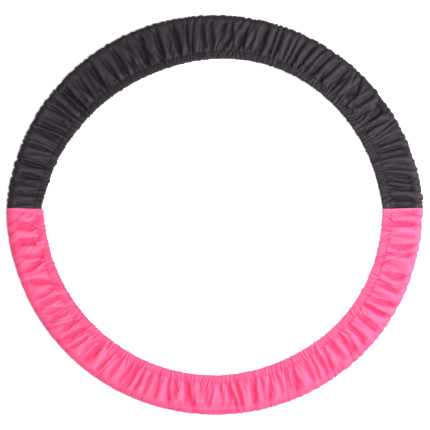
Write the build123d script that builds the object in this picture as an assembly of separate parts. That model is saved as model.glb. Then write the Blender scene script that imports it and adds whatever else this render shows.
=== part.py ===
from build123d import *
import math
import os

# A rhythmic gymnastics hoop packed in its two-colour fabric cover, in millimetres.
# The hoop is one plastic tube bent into a ring and closed with a plug and two pins.
# The cover is a strip of cloth folded around the tube, in one colour for each half ring.
# Its two long edges are hems with a flat elastic inside. They meet on the ring's inner
# side, where the hoop goes in. The ring lies flat: its axis is +Z, the cloth under the
# tube rests on z = 0, and the two colours meet on the X axis.

# ---- hoop ----
hoop_inner_diameter = 800.0
tube_diameter = 18.0
tube_wall = 1.7
butt_gap = 0.4                # between the tube's two ends
plug_length = 90.0
plug_clearance = 0.05         # radial, in the tube's bore
pin_diameter = 3.0
pin_clearance = 0.02          # radial, in its holes
pin_inset = 20.0              # from each end of the plug to its pin
tape_margin = 15.0            # tape past each end of the plug
tape_thickness = 0.2
tape_glue = 0.02              # between the tube and the tape

# ---- cover ----
cloth_thickness = 1.0         # gathered cloth stands about this thick
cloth_clearance = 0.6         # radial, between the tube and the cloth
band_width = 80.0             # from the cover's outer edge to its mouth
rest_flat_width = 6.0         # cloth pressed flat under the tube
mouth_gap = 0.4               # between the two hems
hem_stitch_inset = 1.0        # from the hem's outer end to the middle of its stitches
cross_seam_width = 0.6
thread_width = 0.6
thread_height = 0.3

# ---- elastic ----
elastic_width = 12.0
elastic_thickness = 0.8
elastic_face_clearance = 0.2  # over and under the doubled elastic in its hem
elastic_edge_clearance = 0.5  # beside the elastic in its hem
elastic_overlap = 20.0        # where the ends of one elastic lie on each other
elastic_joint_angle = 12.0    # degrees around the ring from the right-hand cross seam
joint_thread_width = 0.4
joint_thread_height = 0.15
joint_thread_count = 3        # on each face of each overlap
joint_thread_margin = 1.0     # from the elastic's edges to the ends of the threads

# ---- what follows from them ----
tube_radius = tube_diameter / 2
bore_radius = tube_radius - tube_wall
ring_radius = hoop_inner_diameter / 2 + tube_radius
cloth_inner_radius = tube_radius + cloth_clearance
cloth_outer_radius = cloth_inner_radius + cloth_thickness
mid_height = math.sqrt(cloth_outer_radius**2 - (rest_flat_width / 2) ** 2)
outer_radius = ring_radius + cloth_outer_radius
mouth_radius = outer_radius - band_width
channel_start = mouth_radius + cloth_thickness
channel_end = channel_start + elastic_width + 2 * elastic_edge_clearance
channel_low = mouth_gap / 2 + cloth_thickness
channel_high = channel_low + 2 * elastic_thickness + 2 * elastic_face_clearance
channel_middle = (channel_low + channel_high) / 2
hem_end = channel_end + cloth_thickness
hem_high = channel_high + cloth_thickness
elastic_start = channel_start + elastic_edge_clearance
elastic_end = elastic_start + elastic_width
whole_ring = 4 * outer_radius  # a length past the whole ring


def rectangle(radius_from, radius_to, height_from, height_to):
    """A rectangle in the section, with heights above the ring's middle plane."""
    middle = Pos((radius_from + radius_to) / 2, mid_height + (height_from + height_to) / 2)
    return middle * Rectangle(radius_to - radius_from, height_to - height_from)


def disc(radius):
    """A disc in the section, centred on the tube's centre line."""
    return Pos(ring_radius, mid_height) * Circle(radius)


def hull(*faces):
    """The tightest outline around faces of the section."""
    return make_hull([edge for face in faces for edge in face.edges()])


def turn(section, start=0.0, sweep=360.0):
    """The solid that a section makes as it turns about Z, from a start angle in degrees."""
    solid = revolve(Plane.XZ * section, axis=Axis.Z, revolution_arc=sweep)
    return Rot(0, 0, start) * solid


def turn_about(section, middle_angle, length, radius):
    """A short stretch of the ring, by its middle angle and its length at a radius."""
    sweep = math.degrees(length / radius)
    return turn(section, middle_angle - sweep / 2, sweep)


def write(name, solids):
    """One sub-part, as a STEP file that holds each of its solids."""
    part = Compound(children=solids)
    part.label = name
    export_step(part, f"parts/{name}.step")


# ---- the hoop ----
joint_angle = -90.0           # the tube's joint is at -Y


def pin_rods(clearance):
    """Two radial rods through tube and plug, one on each side of the joint."""
    rod = Rot(0, 90, 0) * Cylinder(pin_diameter / 2 + clearance, 2 * tube_diameter)
    offset = math.degrees((plug_length / 2 - pin_inset) / ring_radius)
    angles = (joint_angle - offset, joint_angle + offset)
    return [Rot(0, 0, angle) * Pos(ring_radius, 0, mid_height) * rod for angle in angles]


def make_tube():
    """The plastic tube, a ring whose two ends meet at the joint."""
    tube = turn(disc(tube_radius) - disc(bore_radius))
    gap = Box(2 * tube_diameter, butt_gap, 2 * tube_diameter)
    tube -= Rot(0, 0, joint_angle) * Pos(ring_radius, 0, mid_height) * gap
    for rod in pin_rods(pin_clearance):
        tube -= rod
    return tube.solids()


def make_plug():
    """The curved plug inside the tube, which holds its two ends together."""
    plug = turn_about(disc(bore_radius - plug_clearance), joint_angle, plug_length, ring_radius)
    for rod in pin_rods(pin_clearance):
        plug -= rod
    return plug.solids()


def make_pins():
    """The two pins that lock the tube's ends to the plug, flush with the tube's outside."""
    around = turn_about(disc(tube_radius), joint_angle, plug_length, ring_radius)
    return [(rod & around).solids()[0] for rod in pin_rods(0)]


def make_tape():
    """The band of tape around the joint."""
    inside = tube_radius + tape_glue
    band = disc(inside + tape_thickness) - disc(inside)
    length = plug_length + 2 * tape_margin
    return turn_about(band, joint_angle, length, ring_radius).solids()


# ---- the cover ----
def cover_section():
    """Cloth around the tube, two webs, and two hems with a channel each."""
    cloth_edge = hem_end + cloth_thickness
    web_high = hem_high - cloth_thickness
    section = hull(disc(cloth_outer_radius), rectangle(hem_end, cloth_edge, -hem_high, hem_high))
    section -= hull(disc(cloth_inner_radius), rectangle(hem_end, cloth_edge, -web_high, web_high))
    section += rectangle(mouth_radius, hem_end, -hem_high, hem_high)
    section -= rectangle(mouth_radius, hem_end, -mouth_gap / 2, mouth_gap / 2)
    section -= rectangle(channel_start, channel_end, channel_low, channel_high)
    section -= rectangle(channel_start, channel_end, -channel_high, -channel_low)
    return section - rectangle(0, 2 * outer_radius, -3 * mid_height, -mid_height)


def make_panel(start):
    """Half of the cover between its cross seams, from a start angle in degrees."""
    panel = turn(cover_section(), start, 180)
    return (panel - Box(whole_ring, cross_seam_width, whole_ring)).solids()


def make_cross_seam(angle):
    """The seam that joins the two colours, at an angle in degrees."""
    seam = extrude(Plane.XZ * cover_section(), cross_seam_width / 2, both=True)
    return (Rot(0, 0, angle) * seam).solids()


def make_elastic(side):
    """The flat elastic in the front hem (side 1) or the back hem (side -1)."""
    middle = side * channel_middle
    half = elastic_thickness / 2
    band = rectangle(elastic_start, elastic_end, middle - half, middle + half)
    doubled = rectangle(
        elastic_start, elastic_end, middle - elastic_thickness, middle + elastic_thickness
    )
    overlap = turn_about(doubled, elastic_joint_angle, elastic_overlap, elastic_end)
    return (turn(band) + overlap).solids()


def make_joint_threads():
    """The threads that join the ends of each elastic, on both faces of its overlap."""
    length = elastic_width - 2 * joint_thread_margin
    thread = Box(length, joint_thread_width, joint_thread_height)
    radius = (elastic_start + elastic_end) / 2
    lift = elastic_thickness + joint_thread_height / 2
    spacing = math.degrees(elastic_overlap / (joint_thread_count + 1) / radius)
    threads = []
    for side in (1, -1):
        for face in (1, -1):
            height = mid_height + side * channel_middle + face * lift
            for number in range(joint_thread_count):
                angle = elastic_joint_angle + (number - (joint_thread_count - 1) / 2) * spacing
                threads.append(Rot(0, 0, angle) * Pos(radius, 0, height) * thread)
    return threads


def make_hem_thread(side):
    """The ring of stitches that closes the front hem (side 1) or the back hem (side -1)."""
    middle = hem_end - hem_stitch_inset
    heights = sorted((side * hem_high, side * (hem_high + thread_height)))
    thread = rectangle(middle - thread_width / 2, middle + thread_width / 2, *heights)
    return turn(thread).solids()


os.makedirs("parts", exist_ok=True)
write("hoop_tube", make_tube())
write("joint_plug", make_plug())
write("joint_pins", make_pins())
write("joint_tape", make_tape())
write("upper_panel", make_panel(0))
write("lower_panel", make_panel(180))
write("right_cross_seam", make_cross_seam(0))
write("left_cross_seam", make_cross_seam(180))
write("front_elastic", make_elastic(1))
write("back_elastic", make_elastic(-1))
write("elastic_joint_threads", make_joint_threads())
write("front_hem_thread", make_hem_thread(1))
write("back_hem_thread", make_hem_thread(-1))
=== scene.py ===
# %% [markdown]
# # A rhythmic gymnastics hoop in its cloth cover
#
# A plastic hoop in a soft cover that keeps it clean in the bag. The cover is a strip of thin
# polyester satin, half charcoal and half hot pink, folded over the hoop. Each long edge is a
# hem with a flat elastic inside. The elastics pull the hems together on the inner side of the
# ring, and the cloth, which is longer than the elastic, gathers into hundreds of small folds.
#
# The hoop, its joint and the plain shape of the cover come from the CAD model. This lesson
# makes the gathered cloth, the stitches that sit on it, and the finishes. All lengths are in
# metres.

# %% Load the frame
import math

import bpy
import numpy as np
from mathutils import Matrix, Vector


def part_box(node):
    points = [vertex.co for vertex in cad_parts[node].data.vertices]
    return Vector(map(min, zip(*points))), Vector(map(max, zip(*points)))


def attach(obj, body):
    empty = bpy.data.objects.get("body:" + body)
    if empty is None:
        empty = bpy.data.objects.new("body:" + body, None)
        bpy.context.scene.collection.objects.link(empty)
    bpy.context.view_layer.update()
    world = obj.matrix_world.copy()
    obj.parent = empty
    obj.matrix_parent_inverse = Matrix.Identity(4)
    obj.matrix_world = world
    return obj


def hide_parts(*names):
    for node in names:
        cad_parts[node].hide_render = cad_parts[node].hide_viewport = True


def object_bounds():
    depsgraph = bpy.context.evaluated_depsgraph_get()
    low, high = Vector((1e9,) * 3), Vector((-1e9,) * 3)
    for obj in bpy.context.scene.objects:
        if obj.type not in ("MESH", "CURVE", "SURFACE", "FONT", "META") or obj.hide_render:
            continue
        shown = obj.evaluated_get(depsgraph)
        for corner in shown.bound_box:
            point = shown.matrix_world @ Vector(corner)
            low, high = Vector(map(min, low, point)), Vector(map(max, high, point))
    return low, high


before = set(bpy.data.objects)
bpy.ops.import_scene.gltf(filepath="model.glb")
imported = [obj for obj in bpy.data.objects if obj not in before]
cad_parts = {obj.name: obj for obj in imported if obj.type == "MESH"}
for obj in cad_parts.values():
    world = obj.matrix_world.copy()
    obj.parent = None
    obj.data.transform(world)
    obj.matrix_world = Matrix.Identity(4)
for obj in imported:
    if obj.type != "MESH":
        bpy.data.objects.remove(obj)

cad_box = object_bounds()
tube_low, tube_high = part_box("hoop_tube")
tube_radius = (tube_high.z - tube_low.z) / 2
ring_radius = tube_high.x - tube_radius
middle_height = (tube_low.z + tube_high.z) / 2
outer_radius = cad_box[1].x
print("ring radius", round(ring_radius, 4), "tube radius", round(tube_radius, 4),
      "outer radius", round(outer_radius, 4))

# %% [markdown]
# ## The camera
#
# The ring lies flat and the camera looks down at it steeply, from far away with a long lens.
# It aims slightly nearer than the middle, so the ring sits a touch high in the picture.

# %% Camera
scene = bpy.context.scene
camera_elevation = math.radians(75.25)
camera_distance = 8.56 * outer_radius
camera_lens = 147.7
aim_below_middle = 0.0272 * outer_radius

ring_middle = Vector((0, 0, middle_height))
to_camera = Vector((0, -math.cos(camera_elevation), math.sin(camera_elevation)))
camera_up = Vector((0, math.sin(camera_elevation), math.cos(camera_elevation)))

camera_data = bpy.data.cameras.new("camera")
camera_data.lens = camera_lens
camera = bpy.data.objects.new("camera", camera_data)
scene.collection.objects.link(camera)
aim = ring_middle - aim_below_middle * camera_up
camera.location = ring_middle + camera_distance * to_camera
camera.rotation_euler = (aim - camera.location).to_track_quat("-Z", "Y").to_euler()
scene.camera = camera
print("camera at", [round(value, 3) for value in camera.location])

# %% [markdown]
# ## Floor and light
#
# One large lamp stands in line with the camera, so cloth that turns away goes dark along the
# ring's outer edge and the shadow hides under the ring. A weaker one from the right rakes
# across the folds, and the white surroundings fill what is left.

# %% Floor and light
def select_only(*objects):
    """Selects these objects alone and makes the first one active."""
    bpy.ops.object.select_all(action="DESELECT")
    for item in objects:
        item.select_set(True)
    if objects:
        bpy.context.view_layer.objects.active = objects[0]


def switch(mode):
    """Switches the active object to another mode."""
    bpy.ops.object.mode_set(mode=mode)


def new_material(name):
    """A node material; returns it with its node tree and its shader."""
    material = bpy.data.materials.new(name)
    material.use_nodes = True
    return material, material.node_tree, material.node_tree.nodes["Principled BSDF"]


def set_inputs(node, values):
    """Sets a node's inputs by name."""
    for label, value in values.items():
        node.inputs[label].default_value = value


def add_lamp(name, place, size, power):
    """A square soft lamp that looks at the ring's middle."""
    lamp = bpy.data.objects.new(name, bpy.data.lights.new(name, "AREA"))
    lamp.data.size = size
    lamp.data.energy = power
    lamp.location = place
    lamp.rotation_euler = (ring_middle - lamp.location).to_track_quat("-Z", "Y").to_euler()
    scene.collection.objects.link(lamp)


select_only()
bpy.ops.mesh.primitive_plane_add(size=60)
floor = bpy.context.object
floor.name = "floor"
floor_material, tree, shader = new_material("pale_floor")
set_inputs(shader, {"Base Color": (0.93, 0.93, 0.93, 1), "Roughness": 0.9,
                    "Specular IOR Level": 0.1})
floor.data.materials.append(floor_material)

add_lamp("front_lamp", ring_middle + 3.2 * to_camera + Vector((0.2, 0, 0)), 0.7, 104)
add_lamp("side_lamp", Vector((1.35, 0.1, 0.85)), 0.6, 25)
world = bpy.data.worlds.new("studio")
world.use_nodes = True
set_inputs(world.node_tree.nodes["Background"], {"Color": (1, 1, 1, 1), "Strength": 0.3})
scene.world = world
scene.view_settings.view_transform = "Standard"

# %% [markdown]
# ## The shape that the strip is folded into
#
# Cut across, the cover starts under the stitches, runs inwards under the elastic, folds around
# the mouth's edge, comes back over the elastic to the stitches, runs out to the hoop, goes
# around it, and does the same on the other side. The function below gives that path for any
# place on the strip: 0 is the hoop's outermost line, 1 the end of the front hem, -1 the back's.
#
# The mouth isn't quite round: a few slow waves describe it, and three shallow dents (middle and
# reach in degrees, depth in metres). Beside the cross seams the cloth stands off the hoop.

# %% Folded shape of the strip
cloth_lift = 0.0012          # from the tube's surface to the middle of the cloth
hem_depth = 0.0150           # from the mouth to the stitches
hem_fold_radius = 0.0015
stitch_height = 0.0044       # over the ring's middle plane
hem_edge_height = 0.0037
hem_under_width = 0.0131     # of the flat part of the turned-under end
hem_closing = (0.0004, 0.0024)  # how far its last stretch goes out, and up to the stitches

mouth_share = 0.8009         # of the outer radius
mouth_waves = ((1, 0.0192, -97), (2, 0.0130, 24), (3, 0.0068, 177), (4, 0.0061, -39))
mouth_dents = ((150, 14, -0.0034), (218, 20, 0.0036), (316, 16, 0.0022))
back_peek = 0.0042           # how far the back hem shows past the front one
back_peek_angle = math.radians(212)
back_peek_reach = math.radians(26)

rows_around = (("tube", 5, 0.0175), ("web", 13, 0.0545), ("hem", 4, 0.0135),
               ("edge", 3, 0.0047), ("under", 3, 0.0098), ("end", 1, 0.0020))
wrap_radius = tube_radius + cloth_lift
half_rows = sum(count for name, count, length in rows_around)
half_width = sum(length for name, count, length in rows_around)
row_ends = np.cumsum([0] + [count for name, count, length in rows_around])
row_places = np.cumsum([0] + [length for name, count, length in rows_around]) / half_width
tube_end, web_end, hem_start, edge_end, under_end = row_places[1:6]
half_length = math.pi * outer_radius
row_tolerance = 1e-4         # a place this near to a row or an end is on it


def near(distance, reach):
    """1 at a place, falling smoothly to 0 a reach or two away."""
    return np.exp(-(distance / reach) ** 2)


def part_way(place, start, end):
    """How far along a stretch each place is, from 0 to 1."""
    return np.clip((place - start) / (end - start), 0, 1)


def mouth_radius(angle, place):
    """The radius of the mouth at each angle around the ring, on the front or the back."""
    share = mouth_share
    for order, size, turned in mouth_waves:
        share = share + size * np.cos(order * angle - math.radians(turned))
    radius = share * outer_radius
    degrees = np.degrees(angle) % 360
    for middle, reach, depth in mouth_dents:
        radius = radius + depth * near(degrees - middle, reach)
    peek = back_peek * near(angle - back_peek_angle, back_peek_reach)
    return radius - np.where(place < 0, peek, 0)


def folded(place, angle, slack, pull):
    """Points on the folded strip. slack is how far the cloth stands off the hoop, and pull how
    much wider the mouth is, both in metres."""
    across = np.abs(place)
    mouth = mouth_radius(angle, place) + pull
    stitches = mouth + hem_depth
    run = ring_radius - stitches
    reach = np.sqrt(run**2 + stitch_height**2)
    leaving = math.pi - np.arctan2(stitch_height, run) - np.arccos(wrap_radius / reach)
    turn = part_way(across, 0, tube_end) * leaving
    outward = np.cos(turn)
    radius = ring_radius + wrap_radius * outward + slack * np.maximum(outward, 0)
    height = wrap_radius * np.sin(turn)

    step = part_way(across, tube_end, web_end)
    radius = radius + (stitches - radius) * step
    height = height + (stitch_height - height) * step
    step = part_way(across, web_end, hem_start)
    radius = radius + (mouth + hem_fold_radius - radius) * step
    height = height + (hem_edge_height - height) * step
    step = part_way(across, hem_start, edge_end)
    radius = radius - hem_fold_radius * np.sin(step * math.pi)
    height = height - hem_fold_radius * (1 - np.cos(step * math.pi))
    radius = radius + hem_under_width * part_way(across, edge_end, under_end)
    step = part_way(across, under_end, 1)
    radius = radius + hem_closing[0] * step
    height = height + hem_closing[1] * step
    height = middle_height + np.sign(place) * height
    return np.stack([radius * np.cos(angle), radius * np.sin(angle), height], 1)


print("strip", round(2 * half_width, 4), "wide and about", round(half_length, 3), "long, in",
      2 * half_rows, "rows")

# %% [markdown]
# ## Cutting and gathering one half of the cover
#
# Cloth folds because it is longer than the place it is given. That is set up here for the
# cloth solver, which settles the large folds:
#
# 1. A flat grid is the strip as it was cut. Its size is kept as a shape key called `cut`.
# 2. The grid is folded over the hoop. Every edge along the ring is now too short for the cloth.
# 3. The solver is told that `cut` is the rest shape, and the cloth buckles to find its length.
#
# The hems are held, as the elastic holds them, and the cloth around the hoop is held softly.
# An uneven, slanted wave decides where the folds lie. The solver moves the cloth about a
# millimetre from it, and the next section adds most of the relief that shows.

# %% The two halves
# ease: the strip's length over the ring's outer edge. slack, pull and pucker (how strong the
# small puckers are): at the half's first and last seam. allowance: how high the seams' edges
# stand where they are pressed to this side.
halves = {
    "upper_cover": {"first_angle": 0.0, "ease": 1.072, "seed": 11, "slack": (0.0058, 0.0036),
                    "pull": (0.0022, 0.0072), "pucker": (0.9, 0.9), "allowance": 0.0},
    "lower_cover": {"first_angle": math.pi, "ease": 1.055, "seed": 47, "slack": (0.0064, 0.0024),
                    "pull": (0.0028, 0.0022), "pucker": (0.12, 0.8), "allowance": 0.0010},
}
seam_slack = {0.0: 0.0042, math.pi: 0.0050}  # in the seam itself, at each seam's angle
seam_pull = {0.0: 0.0022, math.pi: 0.0050}
slack_reach = 0.110
pull_reach = 0.044
seam_ramp = 0.0016           # from the seam's own shape to the cloth beside it


# %% Helpers for uneven waves and meshes
def uneven(seed, along, wavelength, waves=24):
    """A smooth random line of about unit size, for places in metres along the strip."""
    draw = np.random.RandomState(seed)
    line = np.zeros_like(along)
    for _ in range(waves):
        length = wavelength * draw.uniform(0.6, 1.8)
        line += np.sin(2 * math.pi * along / length + draw.uniform(0, 2 * math.pi))
    return line / math.sqrt(waves / 2)


def coordinates(mesh):
    """The mesh's vertices as an array."""
    flat = np.empty(len(mesh.vertices) * 3)
    mesh.vertices.foreach_get("co", flat)
    return flat.reshape(-1, 3)


def set_coordinates(mesh, points):
    """Moves the mesh's vertices."""
    mesh.vertices.foreach_set("co", np.asarray(points, dtype=float).ravel())
    mesh.update()


def vertex_normals(mesh):
    """The mesh's vertex normals as an array."""
    flat = np.empty(len(mesh.vertices) * 3)
    mesh.vertex_normals.foreach_get("vector", flat)
    return flat.reshape(-1, 3)


def read_attribute(piece, label):
    """The values of a vertex attribute."""
    values = np.empty(len(piece.data.vertices))
    piece.data.attributes[label].data.foreach_get("value", values)
    return values


def write_attribute(piece, label, values):
    """Stores one value for each vertex, which later modifiers carry along."""
    piece.data.attributes.new(label, "FLOAT", "POINT").data.foreach_set("value", values)


# %% Cut the strip and fold it over the hoop
columns = 400
start_wave = 0.0028          # height of the wave that starts the folds
quiet_end = 0.012            # near a cross seam the cloth is held flat
free_from = 0.4              # share of the wrapped stretch where the wave starts
free_until = 0.93            # and of the way to the stitches where it ends
fold_waves = ((0.050, 1.0), (0.031, 0.55))
fold_lean = 0.040            # how far a crease shifts on its way across, in metres


def end_distance(share):
    """How far each place is from the nearer cross seam, in metres along the ring."""
    return np.minimum(share, 1 - share) * half_length


def slanted_place(seed, along, place):
    """Places along the strip, shifted so that lines across it lean to either side."""
    return along + place * fold_lean * uneven(seed, along, 0.45)


def fold_wave(seed, slanted, wavelength):
    """An unevenly spaced wave, zero at each crease, and how strong the folds are there."""
    wander = 0.35 * uneven(seed, slanted, 2.2 * wavelength)
    strength = np.clip(0.75 + 0.6 * uneven(seed + 4, slanted, 0.11), 0.0, 1.8)
    return np.cos(math.pi * (slanted / wavelength + wander)), strength


def fold_pattern(seed, along, place):
    """The uneven pattern that the folds start from: rounded puffs between creases."""
    slanted = slanted_place(seed, along, place)
    total = np.zeros_like(along)
    for number, (wavelength, size) in enumerate(fold_waves):
        wave, strength = fold_wave(seed + 1 + number, slanted, wavelength)
        total += 2 * size * strength * (np.sqrt(wave**2 + 0.03) - 0.6)
    return total


def beside_seams(half, share):
    """Slack and pull at each place, from the values beside the half's two seams."""
    both = {"slack": np.zeros_like(share), "pull": np.zeros_like(share)}
    for number, distance in enumerate((share * half_length, (1 - share) * half_length)):
        angle = (half["first_angle"] + number * math.pi) % (2 * math.pi)
        blend = np.exp(-distance / seam_ramp)
        for label, seam, reach in (("slack", seam_slack, slack_reach),
                                   ("pull", seam_pull, pull_reach)):
            beside = half[label][number]
            both[label] += (beside + (seam[angle] - beside) * blend) * near(distance, reach)
    return both["slack"], both["pull"]


def cut_and_fold(name, half):
    """A flat grid with its cut size as a shape key, folded over the hoop."""
    select_only()
    bpy.ops.mesh.primitive_grid_add(x_subdivisions=columns, y_subdivisions=2 * half_rows, size=1)
    strip = bpy.context.object
    strip.name = name
    flat = coordinates(strip.data)
    share = flat[:, 0] + 0.5
    row = np.rint((flat[:, 1] + 0.5) * 2 * half_rows) - half_rows
    place = np.sign(row) * np.interp(np.abs(row), row_ends, row_places)
    angle = half["first_angle"] + math.pi * share
    points = folded(place, angle, *beside_seams(half, share))

    order = np.lexsort((share, row))
    table = points[order].reshape(2 * half_rows + 1, columns + 1, 3)
    steps = np.linalg.norm(np.diff(table, axis=0), axis=2)
    width = np.vstack([np.zeros(columns + 1), np.cumsum(steps, axis=0)])
    across = np.empty(len(points))
    across[order] = (width - width[half_rows]).ravel()
    along = share * half_length * half["ease"]
    cut = np.stack([along, across, np.zeros(len(points))], 1)

    size = np.abs(place)
    free = part_way(size, free_from * tube_end, tube_end)
    free = free * (1 - part_way(size, free_until * web_end, web_end))
    ends = np.clip(end_distance(share) / quiet_end, 0, 1)
    side = np.where(place > 0, 1.0, -1.0)
    points[:, 2] += side * start_wave * fold_pattern(half["seed"], along, place) * free * ends

    set_coordinates(strip.data, points)
    write_attribute(strip, "share", share)
    write_attribute(strip, "place", place)
    write_attribute(strip, "along", along)
    corner = np.empty(len(strip.data.loops), dtype=int)
    strip.data.loops.foreach_get("vertex_index", corner)
    strip.data.uv_layers.active.data.foreach_set("uv", cut[corner][:, :2].ravel())
    strip.shape_key_add(name="folded")
    strip.shape_key_add(name="cut").data.foreach_set("co", cut.ravel())
    return strip


# %% Let the cloth buckle
tube_hold = 0.3              # how firmly cloth keeps to the hoop
web_hold = 0.05              # and between hoop and hem
tube_hold_reach = 1.7        # times the wrapped stretch
hold_steps = 24
sim_frames = 12


def hold(strip):
    """Vertex weights that say how firmly each part of the strip stays where it was folded."""
    place = np.abs(read_attribute(strip, "place"))
    share = read_attribute(strip, "share")
    held = (place > web_end - row_tolerance) | (np.minimum(share, 1 - share) < row_tolerance)
    loosened = part_way(place, tube_end, tube_hold_reach * tube_end)
    weight = web_hold + (tube_hold - web_hold) * (1 - loosened)
    weight = np.where(held, 1.0, np.rint(weight * hold_steps) / hold_steps)
    group = strip.vertex_groups.new(name="held")
    for value in np.unique(weight):
        group.add([int(i) for i in np.where(weight == value)[0]], float(value), "REPLACE")
    return group.name


def buckle(strip):
    """Runs the solver and keeps the folded cloth. Returns how far points moved, in metres."""
    group = hold(strip)
    # the solver reads a rest shape only behind a modifier that rebuilds the mesh, so an Edge
    # Split that splits nothing goes first
    split = strip.modifiers.new("split", "EDGE_SPLIT")
    split.use_edge_angle = False
    split.use_edge_sharp = False
    cloth = strip.modifiers.new("cloth", "CLOTH")
    settings = cloth.settings
    settings.quality = 8
    settings.time_scale = 0.3
    settings.mass = 0.02
    settings.tension_stiffness = 60
    settings.compression_stiffness = 5
    settings.shear_stiffness = 3
    settings.bending_stiffness = 3
    settings.tension_damping = 10
    settings.compression_damping = 10
    settings.air_damping = 10
    settings.effector_weights.gravity = 0
    settings.vertex_group_mass = group
    settings.rest_shape_key = strip.data.shape_keys.key_blocks["cut"]
    cloth.point_cache.frame_start = 1
    cloth.point_cache.frame_end = sim_frames
    for number in range(1, sim_frames + 1):
        scene.frame_set(number)
    solved = strip.evaluated_get(bpy.context.evaluated_depsgraph_get())
    points = coordinates(solved.to_mesh())
    solved.to_mesh_clear()
    strip.modifiers.clear()
    before = coordinates(strip.data)
    strip.shape_key_clear()
    set_coordinates(strip.data, points)
    return np.linalg.norm(points - before, axis=1)


# %% [markdown]
# ## Small gathers, puckers and limits
#
# The solver's mesh is too coarse for the small gathers along the hem. They are added after
# one subdivision: rounded ridges with sharp valleys, pinched by the stitches. Large folds get
# creases in the web and puffs on the outer edge, which has small puckers too. Where a crease
# is pinched on the hoop and can't go deeper, painted shade darkens the colour.
#
# Four limits follow: the cloth stays outside the hoop, each side of the cover stays on its own
# side of the middle plane, the hem clears its elastic, and nothing goes below the floor. They
# don't stop a tight fold from crossing itself here and there.

# %% Gathers, creases, puckers and seam allowances
gather_pitch = 0.0092        # along the cut strip
gather_height = 0.0034
crease_depth = 0.0019
crease_width = 0.26          # of the folds' wavelength, roughly
puff_height = 0.0036         # how far cloth stands off the hoop between two creases
gather_lean = 0.4            # how far gathers lean in the web
gather_reach = 0.018         # how far into the web they run
back_shift = 0.37            # the back's gathers are drawn this much further along
groove_depth = 0.0008        # where the hem's stitches press the cloth
mouth_valley = 0.0002        # deepest valley where the elastic's edge holds the cloth
pucker_pitch = 0.017
pucker_height = 0.0030
crease_pull = 0.0013         # how far creases and puckers pull the cloth in along the outer edge
allowance_width = 0.0085
topstitch_distance = 0.0042  # from the cross seam


def ridges(seed, along, pitch):
    """Rounded ridges with sharp valleys, from about -0.6 to 0.4, unevenly spaced."""
    wander = 0.38 * uneven(seed, along, 5 * pitch)
    return np.sqrt(np.cos(math.pi * (along / pitch + wander)) ** 2 + 0.02) - 0.6


def crease_lines(seed, slanted):
    """How deep the sharp creases of both sizes of fold are at each place, from 0 to about 1.5."""
    deepest = np.zeros_like(slanted)
    for number, (wavelength, size) in enumerate(fold_waves):
        wave, strength = fold_wave(seed + 1 + number, slanted, wavelength)
        deepest = np.maximum(deepest, size**0.5 * strength * near(wave, crease_width))
    return deepest


def add_relief(strip, half):
    """Gathers at the hems, creases, puckers along the outer edge and pressed seam allowances."""
    seed = half["seed"]
    place = read_attribute(strip, "place")
    along = read_attribute(strip, "along")
    share = read_attribute(strip, "share")
    across = np.abs(place)
    own = along + np.where(place > 0, 0.0, back_shift)

    from_stitches = (across - web_end) * half_width
    slanted = own + gather_lean * from_stitches * uneven(seed + 22, own, 0.12)
    strength = np.clip(0.9 + 0.5 * uneven(seed + 21, own, 0.035), 0.2, 1.7)
    into_web = np.exp(-np.maximum(-from_stitches / gather_reach, 0) ** 1.3)
    on_hem = 1 - 0.3 * part_way(across, web_end, hem_start) - 0.7 * part_way(across, edge_end, 1)
    pinch = 1 - 0.5 * near(from_stitches, 0.0016)
    gathers = (ridges(seed + 20, slanted, gather_pitch) + 0.15) * strength * pinch
    gathers = gathers * into_web * on_hem

    slanted = slanted_place(seed, along, place)
    crease = crease_lines(seed, slanted)
    in_web = part_way(across, 0.8 * tube_end, 1.5 * tube_end) * (1 - part_way(across, web_end, 1))

    first, last = half["pucker"]
    amount = (first + (last - first) * (3 * share**2 - 2 * share**3)) * near(across / tube_end, 0.9)
    puffed = puff_height * (1 - np.minimum(crease, 1))
    puckered = pucker_height * ridges(seed + 24, slanted, pucker_pitch) * np.clip(strength, 0, 1)

    distance = end_distance(share)
    allowance = half["allowance"]
    pressed = allowance * (1 - part_way(distance, allowance_width, allowance_width + 0.002))
    pressed = pressed - 0.8 * allowance * near(distance - topstitch_distance, 0.0012)
    pressed = pressed - 0.0007 * near(distance, 0.0014)
    pressed = pressed * (1 - part_way(across, hem_start, edge_end))

    ends = np.clip(distance / quiet_end, 0, 1)
    # painted shade: a mask of creases pinched on the hoop, which darkens the colour there
    write_attribute(strip, "pinched", np.minimum(crease, 1) * near(across / tube_end, 1.3) * ends)
    along_edge = amount * (puffed + puckered - crease_pull)
    folds = gather_height * gathers - crease_depth * crease * in_web + along_edge
    folds = np.where(across > hem_start - row_tolerance, np.maximum(folds, -mouth_valley), folds)
    moved = folds * ends + pressed - groove_depth * near(from_stitches, 0.0022)
    points = coordinates(strip.data) + vertex_normals(strip.data) * moved[:, None]
    set_coordinates(strip.data, points)


# %% Limits
side_gap = 0.0004            # between each side of the cover and the middle plane
hoop_gap = 0.0005            # between the hoop and the cloth
floor_gap = 0.0002
hem_floor = 0.0034           # over the middle plane, so the hem clears its elastic


def keep_clear(strip):
    """Moves cloth out of the hoop, off the middle plane and above the floor."""
    place = read_attribute(strip, "place")
    points = coordinates(strip.data)
    radius = np.hypot(points[:, 0], points[:, 1])
    side = np.sign(place)
    height = points[:, 2] - middle_height
    across = np.abs(place)
    height = np.where(across > tube_end, side * np.maximum(side * height, side_gap), height)
    over_elastic = (across > web_end - row_tolerance) & (across < hem_start + row_tolerance)
    height = np.where(over_elastic, side * np.maximum(side * height, hem_floor), height)
    out = np.hypot(radius - ring_radius, height)
    wanted = np.maximum(out, tube_radius + hoop_gap) / np.maximum(out, 1e-6)
    new_radius = ring_radius + (radius - ring_radius) * wanted
    points[:, :2] *= (new_radius / radius)[:, None]
    points[:, 2] = np.maximum(middle_height + height * wanted, floor_gap)
    set_coordinates(strip.data, points)
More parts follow.
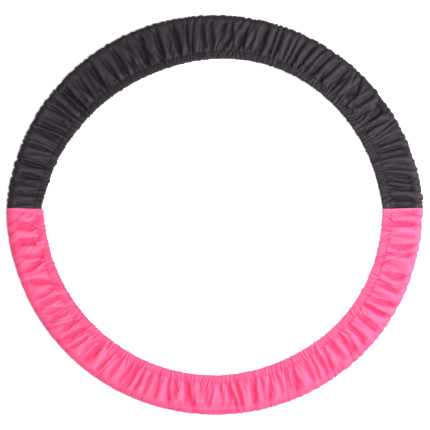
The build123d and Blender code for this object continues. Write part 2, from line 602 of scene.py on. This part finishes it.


# %% Make both halves
# painted shade in the folds: cloth this far below the mean of its neighbours takes the full shaded
# colour
hollow_depth = 0.0022
hollow_reach = 16            # columns on each side that a fold is compared with
# painted shade added where creases are pinched on the hoop
pinch_shade = 0.55           # how much darker pinched cloth is
# painted highlight on the raised seam allowances, per metre of their height
allowance_shine = 400        # lightening per metre of height


def table_order(strip):
    """Vertex numbers of the finished strip as a table, one row of it for each column of cloth."""
    column = np.rint(read_attribute(strip, "share") * 2 * columns)
    order = np.lexsort((read_attribute(strip, "place"), column))
    return order.reshape(2 * columns + 1, -1)


def averaged(table, reach):
    """A table of points, each the mean of its neighbours along the strip."""
    padded = np.concatenate([np.repeat(table[:1], reach, 0), table, np.repeat(table[-1:], reach, 0)])
    sums = np.cumsum(np.concatenate([np.zeros_like(padded[:1]), padded]), axis=0)
    return (sums[2 * reach + 1:] - sums[:-2 * reach - 1]) / (2 * reach + 1)


def paint_fold_shade(strip, order, shine):
    """Stores painted shade for each vertex, from 0 on a ridge to 1 in a valley, by how deep in a
    fold it lies. The doubled cloth beside a cross seam gets a painted highlight like a ridge,
    and cloth pinched flat on the hoop between two puffs, the stitches' groove and the
    turned-under end of the hem get painted shade like a valley."""
    points = coordinates(strip.data)[order]
    normals = averaged(vertex_normals(strip.data)[order], hollow_reach)
    # painted shade from the geometry: how far each vertex lies below the mean of its neighbours
    rise = ((points - averaged(points, hollow_reach)) * normals).sum(axis=2)
    relative = np.empty(order.size)
    relative[order.ravel()] = rise.ravel()
    across = np.abs(read_attribute(strip, "place"))
    # painted shade is made stronger near the hem's stitches
    at_hem = near((across - web_end) * half_width, 0.012)
    depth = hollow_depth * (1 - 0.6 * at_hem)
    # painted shade in the groove where the hem's stitches press the cloth
    groove_shade = 0.25 * near((across - web_end) * half_width, 0.0025)
    # painted highlight on the seam allowance beside each cross seam
    seam_highlight = shine * near(end_distance(read_attribute(strip, "share")) - 0.002, 0.002)
    pinched = pinch_shade * read_attribute(strip, "pinched")
    hollow = np.clip(0.5 + groove_shade + pinched - seam_highlight - relative / (2 * depth), 0, 1)
    # painted shade: the turned-under end of the hem, under the fold, takes the full shaded colour
    hollow = np.maximum(hollow, part_way(across, (hem_start + edge_end) / 2, edge_end))
    write_attribute(strip, "hollow", hollow)


def make_half(name, half):
    """One half of the cover, cut, folded, buckled, smoothed and gathered."""
    strip = cut_and_fold(name, half)
    moved = buckle(strip) * 1000
    print(name, "moved", round(float(moved.mean()), 2), "mm on average, at most",
          round(float(moved.max()), 2))
    keep_clear(strip)
    smooth = strip.modifiers.new("smooth", "SUBSURF")
    smooth.levels = 1
    select_only(strip)
    bpy.ops.object.modifier_apply(modifier=smooth.name)
    add_relief(strip, half)
    keep_clear(strip)
    bpy.ops.object.shade_smooth()
    order = table_order(strip)
    paint_fold_shade(strip, order, allowance_shine * half["allowance"])
    return strip, order


upper_cover, upper_order = make_half("upper_cover", halves["upper_cover"])
lower_cover, lower_order = make_half("lower_cover", halves["lower_cover"])
print("triangles in a half", 2 * len(upper_cover.data.polygons))

# %% [markdown]
# ## Cloth finish
#
# Thin satin has a fine weave, a soft sheen at grazing angles, and a colour that shifts a
# little from fold to fold. The weave reads the strip's UV map, which is in metres of cut
# cloth, so the threads follow every fold. The stored values paint shade into the folds and a
# highlight onto the seam allowances.

# %% Weave group
threads_per_metre = 2800


def new_group(name, *sockets):
    """A node group with its sockets; returns it with its input and output nodes."""
    group = bpy.data.node_groups.new(name, "ShaderNodeTree")
    for label, direction, kind in sockets:
        group.interface.new_socket(name=label, in_out=direction, socket_type="NodeSocket" + kind)
    return group, group.nodes.new("NodeGroupInput"), group.nodes.new("NodeGroupOutput")


def math_node(tree, operation, *values):
    """A Math node fed by sockets or numbers; returns its result."""
    node = tree.nodes.new("ShaderNodeMath")
    node.operation = operation
    for number, value in enumerate(values):
        if isinstance(value, (int, float)):
            node.inputs[number].default_value = value
        else:
            tree.links.new(value, node.inputs[number])
    return node.outputs[0]


def make_weave_group():
    """Plain weave: warp over weft in a chequer, each thread rounded. Position is in metres."""
    group, inside, outside = new_group(
        "plain_weave", ("Position", "INPUT", "Vector"), ("Threads per metre", "INPUT", "Float"),
        ("Height", "OUTPUT", "Float"), ("Thread", "OUTPUT", "Float"))
    group.interface.items_tree["Threads per metre"].default_value = threads_per_metre
    split = group.nodes.new("ShaderNodeSeparateXYZ")
    group.links.new(inside.outputs["Position"], split.inputs[0])
    waves = []
    for axis in ("X", "Y"):
        turns = math_node(group, "MULTIPLY", split.outputs[axis],
                          inside.outputs["Threads per metre"])
        waves.append(math_node(group, "SINE", math_node(group, "MULTIPLY", turns, math.pi)))
    over = math_node(group, "MULTIPLY", waves[0], waves[1])
    warp_on_top = math_node(group, "GREATER_THAN", over, 0.0)
    weft_on_top = math_node(group, "SUBTRACT", 1.0, warp_on_top)
    warp = math_node(group, "MULTIPLY", math_node(group, "ABSOLUTE", waves[0]), warp_on_top)
    weft = math_node(group, "MULTIPLY", math_node(group, "ABSOLUTE", waves[1]), weft_on_top)
    group.links.new(math_node(group, "ADD", warp, weft), outside.inputs["Height"])
    group.links.new(warp_on_top, outside.inputs["Thread"])
    return group


weave_group = make_weave_group()
print("weave group", [socket.name for socket in weave_group.interface.items_tree])


# %% Node helpers
def mix_colours(tree, factor, first, second):
    """A Mix node between two colours or sockets; returns its result."""
    mix = tree.nodes.new("ShaderNodeMix")
    mix.data_type = "RGBA"
    tree.links.new(factor, mix.inputs["Factor"])
    for label, value in (("A", first), ("B", second)):
        target = [item for item in mix.inputs if item.name == label and item.type == "RGBA"][0]
        if isinstance(value, tuple):
            target.default_value = (*value, 1)
        else:
            tree.links.new(value, target)
    return [item for item in mix.outputs if item.type == "RGBA"][0]


def noise_node(tree, vector, scale, detail):
    """A Noise texture on a vector; returns its value."""
    noise = tree.nodes.new("ShaderNodeTexNoise")
    set_inputs(noise, {"Scale": scale, "Detail": detail})
    tree.links.new(vector, noise.inputs["Vector"])
    return noise.outputs["Fac"]


def scaled_vector(tree, vector, scale):
    """A Mapping node that stretches a vector."""
    mapping = tree.nodes.new("ShaderNodeMapping")
    mapping.inputs["Scale"].default_value = scale
    tree.links.new(vector, mapping.inputs["Vector"])
    return mapping.outputs["Vector"]


def bump_node(tree, height, distance, strength, normal=None):
    """A Bump node with its distance in metres; returns its normal."""
    bump = tree.nodes.new("ShaderNodeBump")
    set_inputs(bump, {"Distance": distance, "Strength": strength})
    tree.links.new(height, bump.inputs["Height"])
    if normal is not None:
        tree.links.new(normal, bump.inputs["Normal"])
    return bump.outputs["Normal"]


# %% Cloth materials
def cloth_material(name, shaded_colour, lit_colour, tint, sheen, roughness):
    """Satin cloth from a shaded colour for painted shade in the folds, a lit colour for the ridges and
    a second tint.
    """
    material, tree, shader = new_material(name)
    cut_place = tree.nodes.new("ShaderNodeUVMap")
    cut_place.uv_map = "UVMap"
    place = cut_place.outputs["UV"]
    hollow = tree.nodes.new("ShaderNodeAttribute")
    hollow.attribute_name = "hollow"

    weave = tree.nodes.new("ShaderNodeGroup")
    weave.node_tree = weave_group
    tree.links.new(place, weave.inputs["Position"])
    creases = noise_node(tree, scaled_vector(tree, place, (85, 18, 1)), 1.0, 4.0)
    patches = noise_node(tree, place, 26.0, 2.0)
    cloud = noise_node(tree, place, 9.0, 2.0)

    # painted shade: the colour mixes from the lit colour to the shaded one by the stored fold shade,
    # made a little uneven by random patches
    uneven_light = math_node(tree, "MULTIPLY_ADD", patches, 0.5, -0.25)
    depth = math_node(tree, "ADD", hollow.outputs["Fac"], uneven_light)
    depth.node.use_clamp = True
    colour = mix_colours(tree, depth, lit_colour, shaded_colour)
    colour = mix_colours(tree, math_node(tree, "MULTIPLY", cloud, 0.45), colour, tint)
    thread_amount = math_node(tree, "MULTIPLY", weave.outputs["Thread"], 0.10)
    colour = mix_colours(tree, thread_amount, colour, lit_colour)
    tree.links.new(colour, shader.inputs["Base Color"])

    normal = bump_node(tree, creases, 0.0012, 0.3)
    normal = bump_node(tree, weave.outputs["Height"], 0.00008, 0.5, normal)
    tree.links.new(normal, shader.inputs["Normal"])
    set_inputs(shader, {"Roughness": roughness, "Specular IOR Level": 0.18,
                        "Sheen Weight": sheen, "Sheen Roughness": 0.4})
    return material


# each satin: a shaded colour for the painted shade in the folds, a lit colour for the ridges, a tint,
# sheen and roughness
charcoal_satin = cloth_material("charcoal_satin", (0.005, 0.0034, 0.005), (0.029, 0.0225, 0.030),
                                (0.025, 0.013, 0.021), 0.025, 0.5)
pink_satin = cloth_material("pink_satin", (0.60, 0.021, 0.104), (0.85, 0.125, 0.262),
                            (0.81, 0.082, 0.215), 0.07, 0.5)
for half, finish in ((upper_cover, charcoal_satin), (lower_cover, pink_satin)):
    half.data.materials.clear()
    half.data.materials.append(finish)

# %% [markdown]
# ## Stitches
#
# A stitch is a short piece of thread that dips into the cloth at both ends. One is modelled
# and copied along a line of frames: a point, the direction of the row, and the direction out
# of the cloth. The hem rows follow the finished
# cloth's own row of vertices, so they rise and dip with every gather.

# %% One stitch
def make_stitch(length, width):
    """A stitch along X, as points and faces. Its ends dip to half its height."""
    select_only()
    bpy.ops.mesh.primitive_cylinder_add(vertices=6, radius=width / 2, depth=length,
                                        rotation=(0, math.radians(90), 0))
    stitch = bpy.context.object
    bpy.ops.object.transform_apply(location=False, rotation=True, scale=False)
    switch("EDIT")
    bpy.ops.mesh.select_all(action="DESELECT")
    switch("OBJECT")
    for face in stitch.data.polygons:
        face.select = abs(face.normal.x) > 0.9
    switch("EDIT")
    bpy.ops.mesh.bevel(offset=0.4 * width, segments=1)
    switch("OBJECT")
    points = coordinates(stitch.data)
    points[:, 2] = 0.7 * points[:, 2] - width * (points[:, 0] / length) ** 2 * 2
    faces = [list(face.vertices) for face in stitch.data.polygons]
    bpy.data.objects.remove(stitch)
    return points, faces


def mesh_piece(name, points, faces):
    """A new object from points and faces, shaded smooth."""
    mesh = bpy.data.meshes.new(name)
    mesh.from_pydata(np.asarray(points).tolist(), [], faces)
    piece = bpy.data.objects.new(name, mesh)
    scene.collection.objects.link(piece)
    select_only(piece)
    bpy.ops.object.shade_smooth()
    return piece


def unit(vectors):
    """Vectors scaled to a length of 1."""
    return vectors / np.maximum(np.linalg.norm(vectors, axis=1), 1e-9)[:, None]


def frames_along(points, normals, pitch, start=0.0, end=0.0):
    """Evenly spaced places along a line: middles, directions and directions out of the cloth."""
    steps = np.linalg.norm(np.diff(points, axis=0), axis=1)
    length = np.concatenate([[0], np.cumsum(steps)])
    places = np.arange(start + pitch / 2, length[-1] - end - pitch / 2, pitch)
    middles, ahead, behind, out = (
        np.stack([np.interp(places + shift, length, values[:, axis]) for axis in range(3)], 1)
        for values, shift in ((points, 0), (points, pitch / 3), (points, -pitch / 3), (normals, 0)))
    return middles, unit(ahead - behind), unit(out)


def sew(name, frames, stitch, lift):
    """One row of stitches along frames, as one piece."""
    middles, along, out = frames
    points, faces = stitch
    sideways = unit(np.cross(out, along))
    out = np.cross(along, sideways)
    placed = (middles[:, None] + points[None, :, 0:1] * along[:, None]
              + points[None, :, 1:2] * sideways[:, None] + (points[None, :, 2:3] + lift) * out[:, None])
    count = len(points)
    copied = [[corner + number * count for corner in face]
              for number in range(len(middles)) for face in faces]
    return mesh_piece(name, placed.reshape(-1, 3), copied)


# %% Hem stitches
hem_stitch = make_stitch(0.0031, 0.0006)
hem_stitch_pitch = 0.0042
thread_lift = 0.0001


def cloth_row(strip, order, place):
    """The finished cloth's points and normals along the row nearest to a place."""
    row = int(np.argmin(np.abs(read_attribute(strip, "place")[order[0]] - place)))
    numbers = order[:, row]
    return coordinates(strip.data)[numbers], vertex_normals(strip.data)[numbers]


stitch_rows = []
for side, side_name in ((1, "front"), (-1, "back")):
    for strip, order in ((upper_cover, upper_order), (lower_cover, lower_order)):
        points, normals = cloth_row(strip, order, side * web_end)
        frames = frames_along(points, normals, hem_stitch_pitch, 0.002, 0.002)
        name = strip.name.replace("cover", side_name) + "_hem_stitches"
        row = sew(name, frames, hem_stitch, thread_lift)
        stitch_rows.append((row, strip, side_name + "_hem_thread"))
        print(name, len(frames[0]), "stitches")

# %% [markdown]
# ## Cross seams
#
# The two colours are sewn together, pressed to the pink side and stitched down about four
# millimetres from the seam. The step and the groove are already in the cloth's relief. This
# row of stitches runs in the groove, once around the section.

# %% Topstitching beside the cross seams
top_stitch = make_stitch(0.0024, 0.0005)
top_stitch_pitch = 0.0034


def section_line(strip, order, distance, first_seam):
    """The finished cloth's points and normals across the strip, at a distance from a seam."""
    column = distance / half_length * (len(order) - 1)
    column = column if first_seam else len(order) - 1 - column
    below = int(column)
    part = column - below
    across = read_attribute(strip, "place")[order[below]]
    shown = np.abs(across) < edge_end
    values = [table[order[below]] * (1 - part) + table[order[below + 1]] * part
              for table in (coordinates(strip.data), vertex_normals(strip.data))]
    return values[0][shown], values[1][shown]


for name, first_seam in (("right_cross_seam", False), ("left_cross_seam", True)):
    points, normals = section_line(lower_cover, lower_order, topstitch_distance, first_seam)
    frames = frames_along(points, normals, top_stitch_pitch)
    row = sew(name + "_stitches", frames, top_stitch, thread_lift)
    stitch_rows.append((row, lower_cover, name))
    print(name, len(frames[0]), "stitches")

# %% [markdown]
# ## The elastics
#
# Each hem holds a flat woven elastic whose ends lie on each other for two centimetres and are
# stitched across three times. A rounded rectangle is spun around the ring a little further
# than a full turn, led along the mouth, and squeezed where the cross seams narrow the hem.
# Its first and last stretch are parted so that one lies on the other.

# %% Elastics
elastic_width = 0.0120
elastic_thickness = 0.0008
elastic_inset = 0.0020       # from the mouth's edge
elastic_height = 0.0021      # over the ring's middle plane
elastic_overlap = 0.020
elastic_joint = math.radians(12)
elastic_steps = 360


def whole_pull(angle):
    """How much wider the mouth is beside the seams, at any angle around the ring."""
    total = np.zeros_like(angle)
    for half in halves.values():
        share = ((angle - half["first_angle"]) % (2 * math.pi)) / math.pi
        inside = share < 1
        total[inside] = beside_seams(half, share[inside])[1]
    return total


def spin_strip(name, radius, turn):
    """A rounded rectangle spun around Z, open at both ends and then capped."""
    select_only()
    bpy.ops.mesh.primitive_plane_add(size=1, location=(radius, 0, 0),
                                     rotation=(math.radians(90), 0, 0))
    strip = bpy.context.object
    strip.name = name
    strip.scale = (elastic_width, elastic_thickness, 1)
    bpy.ops.object.transform_apply(location=True, rotation=True, scale=True)
    switch("EDIT")
    bpy.ops.mesh.select_all(action="SELECT")
    bpy.ops.mesh.bevel(offset=0.3 * elastic_thickness, segments=2, affect="VERTICES")
    bpy.ops.mesh.delete(type="ONLY_FACE")
    bpy.ops.mesh.select_all(action="SELECT")
    bpy.ops.mesh.spin(steps=elastic_steps, angle=turn, center=(0, 0, 0), axis=(0, 0, 1))
    bpy.ops.mesh.select_all(action="SELECT")
    bpy.ops.mesh.fill_holes(sides=0)
    switch("OBJECT")
    return strip


def lead_elastic(strip, side, radius, turn):
    """Leads the spun strip along the mouth and lays its ends on each other."""
    points = coordinates(strip.data)
    corners = len(points) // (elastic_steps + 1)
    # the spin may run either way, and a vertex's number tells which turn it is on
    sense = np.sign(points[len(points) // 4, 1])
    turned = sense * np.arctan2(points[:, 1], points[:, 0]) % (2 * math.pi)
    numbered = turn * (np.arange(len(points)) // corners) / elastic_steps
    walked = turned + 2 * math.pi * np.rint((numbered - turned) / (2 * math.pi))
    angle = elastic_joint + walked - elastic_overlap / radius / 2
    inward = np.hypot(points[:, 0], points[:, 1]) - radius
    places = np.full(len(points), float(side))
    shifts = np.stack([whole_pull(angle + step) for step in (-0.012, 0, 0.012)])
    start = mouth_radius(angle, places) + elastic_inset + shifts.max(axis=0)
    end = mouth_radius(angle, places) + elastic_inset + elastic_width + shifts.min(axis=0)
    new_radius = start + (end - start) * (inward / elastic_width + 0.5)
    from_start = walked * radius / elastic_overlap
    from_end = (turn - walked) * radius / elastic_overlap
    stack = part_way(from_end, 1.8, 1.1) - part_way(from_start, 1.8, 1.1)
    height = elastic_height + points[:, 2] + 0.52 * elastic_thickness * stack
    print(strip.name, "corners", corners, "width in mm",
          [round(float(value) * 1000, 2) for value in ((end - start).min(), (end - start).max())])
    set_coordinates(strip.data, np.stack([new_radius * np.cos(angle), new_radius * np.sin(angle),
                                          middle_height + side * height], 1))
    write_attribute(strip, "along", walked * radius)
    write_attribute(strip, "across", inward)
    select_only(strip)
    switch("EDIT")
    bpy.ops.mesh.select_all(action="SELECT")
    bpy.ops.mesh.normals_make_consistent(inside=False)
    switch("OBJECT")
    bpy.ops.object.shade_smooth_by_angle(angle=math.radians(50))


def make_elastic(name, side):
    """One elastic, in the front hem (side 1) or the back hem (side -1)."""
    radius = mouth_share * outer_radius + elastic_inset + elastic_width / 2
    turn = 2 * math.pi + elastic_overlap / radius
    strip = spin_strip(name, radius, turn)
    lead_elastic(strip, side, radius, turn)
    return strip


front_elastic_band = make_elastic("front_elastic_band", 1)
back_elastic_band = make_elastic("back_elastic_band", -1)

# %% Stitches across the elastics' overlap
joint_stitch = make_stitch(0.0022, 0.0005)
joint_rows = 3
line_points = 12


def overlap_frames(side, face):
    """Frames for the rows of stitches on one face of one elastic's overlap."""
    groups = []
    mouth = float(mouth_radius(np.array([elastic_joint]), np.array([float(side)]))[0])
    radii = mouth + elastic_inset + np.linspace(0.001, elastic_width - 0.001, line_points)
    height = middle_height + side * (elastic_height + face * 1.05 * elastic_thickness)
    for number in range(joint_rows):
        step = (number - (joint_rows - 1) / 2) * elastic_overlap / (joint_rows + 1)
        angle = elastic_joint + step / mouth
        line = np.stack([radii * math.cos(angle), radii * math.sin(angle),
                         np.full(line_points, height)], 1)
        out = np.tile([0.0, 0.0, float(side * face)], (line_points, 1))
        groups.append(frames_along(line, out, 0.0025))
    return groups


groups = [group for side in (1, -1) for face in (1, -1) for group in overlap_frames(side, face)]
joint_frames = tuple(np.concatenate([group[part] for group in groups]) for part in range(3))
elastic_joint_stitches = sew("elastic_joint_stitches", joint_frames, joint_stitch, 0.0)
print("stitches across the overlaps", len(joint_frames[0]))

# %% [markdown]
# ## Thread, elastic, tape and plastic
#
# Twisted thread has fine slanted bands, with painted shade in their grooves. Woven elastic has
# ribs along it, crossed by a fine weft, with painted shade between the ribs. The hoop is smooth
# plastic with a faint orange-peel and a few scuffs, and the tape around its joint a glossy film
# with small wrinkles. One node group gives wear to both.

# %% Wear group
def make_wear_group():
    """Scuffs and faint dirt on plastic: a mask of fine scratches and a mask of soft patches."""
    group, inside, outside = new_group(
        "handling_wear", ("Position", "INPUT", "Vector"), ("Scratches", "OUTPUT", "Float"),
        ("Patches", "OUTPUT", "Float"))
    place = inside.outputs["Position"]
    marks = noise_node(group, scaled_vector(group, place, (900, 60, 900)), 1.0, 4.0)
    patches = noise_node(group, place, 14.0, 4.0)
    scratch = math_node(group, "MULTIPLY", math_node(group, "GREATER_THAN", marks, 0.63), patches)
    group.links.new(scratch, outside.inputs["Scratches"])
    group.links.new(patches, outside.inputs["Patches"])
    return group


wear_group = make_wear_group()


def object_place(tree):
    """Object coordinates, which are metres in the shared frame."""
    return tree.nodes.new("ShaderNodeTexCoord").outputs["Object"]


def plastic_material(name, colour, aged, roughness, coat, wrinkle):
    """Moulded or extruded plastic with light wear."""
    material, tree, shader = new_material(name)
    place = object_place(tree)
    wear = tree.nodes.new("ShaderNodeGroup")
    wear.node_tree = wear_group
    tree.links.new(place, wear.inputs["Position"])
    worn = mix_colours(tree, wear.outputs["Patches"], colour, aged)
    tree.links.new(worn, shader.inputs["Base Color"])
    rough = math_node(tree, "MULTIPLY_ADD", wear.outputs["Scratches"], 0.5, roughness)
    tree.links.new(rough, shader.inputs["Roughness"])
    peel = noise_node(tree, place, wrinkle, 2.0)
    tree.links.new(bump_node(tree, peel, 0.0003, 0.4), shader.inputs["Normal"])
    set_inputs(shader, {"Coat Weight": coat, "Coat Roughness": 0.15})
    return material


def thread_material(name, colour, groove_shade_colour):
    """Twisted thread: fine slanted bands with painted shade in their grooves, and a little fluff."""
    material, tree, shader = new_material(name)
    place = object_place(tree)
    bands = tree.nodes.new("ShaderNodeTexWave")
    bands.bands_direction = "DIAGONAL"
    set_inputs(bands, {"Scale": 900, "Distortion": 3})
    tree.links.new(place, bands.inputs["Vector"])
    banded = bands.outputs["Fac"]
    # painted shade: the bands' low parts, the grooves of the twist, take the darker colour
    tree.links.new(mix_colours(tree, banded, groove_shade_colour, colour), shader.inputs["Base Color"])
    tree.links.new(bump_node(tree, banded, 0.00004, 0.3), shader.inputs["Normal"])
    set_inputs(shader, {"Roughness": 0.7, "Sheen Weight": 0.1})
    return material


def elastic_material(name, colour, groove_shade_colour):
    """Woven elastic: ribs along the strip and a fine weft across it, with painted shade in the low
    parts between them.
    """
    material, tree, shader = new_material(name)
    waves = []
    for attribute, turns in (("across", 2 * math.pi / 0.0011), ("along", 2 * math.pi / 0.0006)):
        read = tree.nodes.new("ShaderNodeAttribute")
        read.attribute_name = attribute
        waves.append(math_node(tree, "SINE", math_node(tree, "MULTIPLY", read.outputs["Fac"], turns)))
    weft = math_node(tree, "MULTIPLY", waves[1], 0.35)
    ribs = math_node(tree, "ADD", waves[0], weft)
    height = math_node(tree, "MULTIPLY_ADD", ribs, 0.35, 0.5)
    height.node.use_clamp = True
    # painted shade: the low parts between the ribs take the darker colour
    tree.links.new(mix_colours(tree, height, groove_shade_colour, colour), shader.inputs["Base Color"])
    tree.links.new(bump_node(tree, height, 0.00015, 0.8), shader.inputs["Normal"])
    shader.inputs["Roughness"].default_value = 0.75
    return material


# %% Hand out the finishes
# threads and elastic: their colour, and a darker one for the painted shade in their grooves
black_thread = thread_material("black_thread", (0.030, 0.024, 0.030), (0.008, 0.006, 0.008))
pink_thread = thread_material("pink_thread", (0.95, 0.120, 0.300), (0.70, 0.030, 0.120))
black_elastic = elastic_material("black_elastic", (0.020, 0.017, 0.020), (0.005, 0.004, 0.005))
white_plastic = plastic_material("white_plastic", (0.80, 0.79, 0.76), (0.72, 0.70, 0.66),
                                 0.32, 0.1, 220.0)
grey_plastic = plastic_material("grey_plastic", (0.46, 0.46, 0.46), (0.36, 0.36, 0.37),
                                0.45, 0.0, 400.0)
tape_film = plastic_material("tape_film", (0.66, 0.66, 0.70), (0.55, 0.55, 0.60),
                             0.12, 0.6, 90.0)

for row, strip, node in stitch_rows:
    row.data.materials.append(black_thread if strip is upper_cover else pink_thread)
elastic_joint_stitches.data.materials.append(black_thread)
for strip in (front_elastic_band, back_elastic_band):
    strip.data.materials.clear()
    strip.data.materials.append(black_elastic)
for node, finish in (("hoop_tube", white_plastic), ("joint_plug", grey_plastic),
                     ("joint_pins", grey_plastic), ("joint_tape", tape_film)):
    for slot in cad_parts[node].material_slots:
        slot.material = finish

# %% [markdown]
# ## Joining it all up
#
# Each piece is attached to the cover's body, and the CAD part that it stands for is hidden. Each
# sheet's UV map holds its cut size in metres.

# %% Bodies, and the CAD parts hidden
for piece, node, slot in ((upper_cover, "upper_panel", "black_cloth"),
                          (lower_cover, "lower_panel", "pink_cloth")):
    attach(piece, "cover")
    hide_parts(node)

sewn = [(row, node, "seam_thread") for row, strip, node in stitch_rows]
sewn += [(front_elastic_band, "front_elastic", "elastic"),
         (back_elastic_band, "back_elastic", "elastic"),
         (elastic_joint_stitches, "elastic_joint_threads", "seam_thread")]
for piece, node, slot in sewn:
    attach(piece, "cover")
    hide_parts(node)
